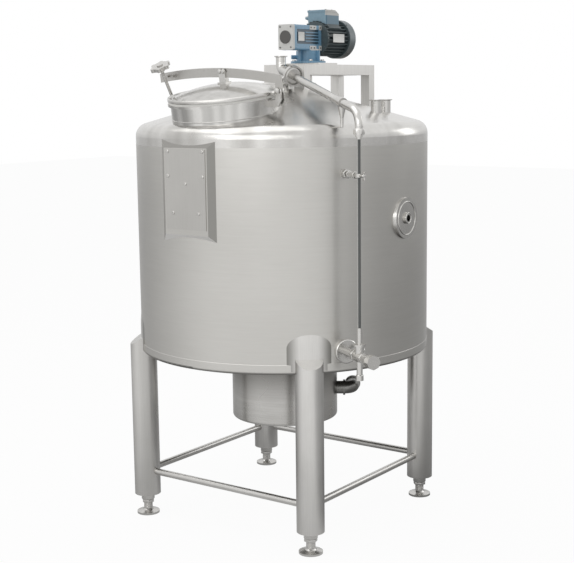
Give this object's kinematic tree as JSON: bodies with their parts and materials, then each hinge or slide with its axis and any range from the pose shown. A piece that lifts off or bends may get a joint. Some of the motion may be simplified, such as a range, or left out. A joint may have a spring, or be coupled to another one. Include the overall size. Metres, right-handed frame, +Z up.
{
  "type": "ice cream aging tank",
  "caption": "Upright insulated stainless vat on legs with a hinged clamped manway, top drive and agitator, side level gauge and bottom sump.",
  "frame": {"origin": "floor level, at the middle of the whole width and depth", "axes": "+Z up, control panel and manway towards -Y, level gauge at the front right"},
  "size_m": [1.2414, 1.131, 1.963],
  "materials": {
    "brushed_shell": "satin brushed stainless steel, bands running round the shell",
    "polished_steel": "smooth satin stainless steel",
    "satin_legs": "brushed stainless tube, slightly darker",
    "panel_sheet": "brushed stainless cover plate",
    "seal_rubber": "pale food-grade rubber",
    "gauge_tube": "clear tube with a dark inside",
    "blue_paint": "blue enamel over cast metal",
    "motor_paint": "dark painted cast fins"
  },
  "bodies": {
    "tank": {"bolt_lugs": "polished_steel", "brace_back": "satin_legs", "brace_front": "satin_legs", "brace_left": "satin_legs", "brace_right": "satin_legs", "bridge_crossbars": "satin_legs", "bridge_plate": "satin_legs", "bridge_posts": "satin_legs", "bridge_rails": "satin_legs", "drain_outlet": "polished_steel", "fan_cowl": "blue_paint", "gauge_clip": "polished_steel", "gauge_glass": "gauge_tube", "gauge_pipe": "polished_steel", "gauge_valve": "polished_steel", "gearbox": "blue_paint", "hinge_lugs": "polished_steel", "leg_back_left": "satin_legs", "leg_back_right": "satin_legs", "leg_front_left": "satin_legs", "leg_front_right": "satin_legs", "levelling_feet": "satin_legs", "manway_gasket": "seal_rubber", "manway_neck": "polished_steel", "motor_frame": "motor_paint", "panel_pad": "brushed_shell", "panel_plate": "panel_sheet", "pipe_support": "polished_steel", "probe_pocket": "brushed_shell", "roof_nozzles": "polished_steel", "shaft_seal": "polished_steel", "sump_drum": "satin_legs", "tank_floor": "brushed_shell", "tank_roof": "polished_steel", "tank_wall": "brushed_shell", "terminal_box": "blue_paint", "vent_clamp": "polished_steel", "vent_pipe": "polished_steel"},
    "lid": {"manway_lid": "polished_steel", "lid_arm": "polished_steel", "lid_bracket": "polished_steel"},
    "swing_bolt": {"swing_bolt": "polished_steel"},
    "hand_knob": {"hand_knob": "polished_steel"},
    "valve_knob": {"valve_knob": "polished_steel"},
    "agitator": {"agitator": "polished_steel"}
  },
  "joints": [
    {"name": "lid_hinge", "type": "hinge", "parent": "tank", "child": "lid", "pos_m": [0.18941, -0.34407, 1.64985], "axis": [0, 0.989, 0.1478], "range_deg": [0, 100]},
    {"name": "bolt_swing", "type": "hinge", "parent": "tank", "child": "swing_bolt", "pos_m": [-0.29559, -0.35437, 1.62404], "axis": [1, 0, 0], "range_deg": [-21, 69]},
    {"name": "knob_turn", "type": "hinge", "parent": "swing_bolt", "child": "hand_knob", "pos_m": [-0.29559, -0.42331, 1.74589], "axis": [0, -0.4924, 0.8704], "continuous": true},
    {"name": "valve_turn", "type": "hinge", "parent": "tank", "child": "valve_knob", "pos_m": [0.56227, -0.37298, 0.735], "axis": [0.8554, -0.518, 0], "range_deg": [0, 330]},
    {"name": "agitator_turn", "type": "hinge", "parent": "tank", "child": "agitator", "pos_m": [-0.05359, 0.183, 1.2], "axis": [0, 0, 1], "continuous": true}
  ]
}
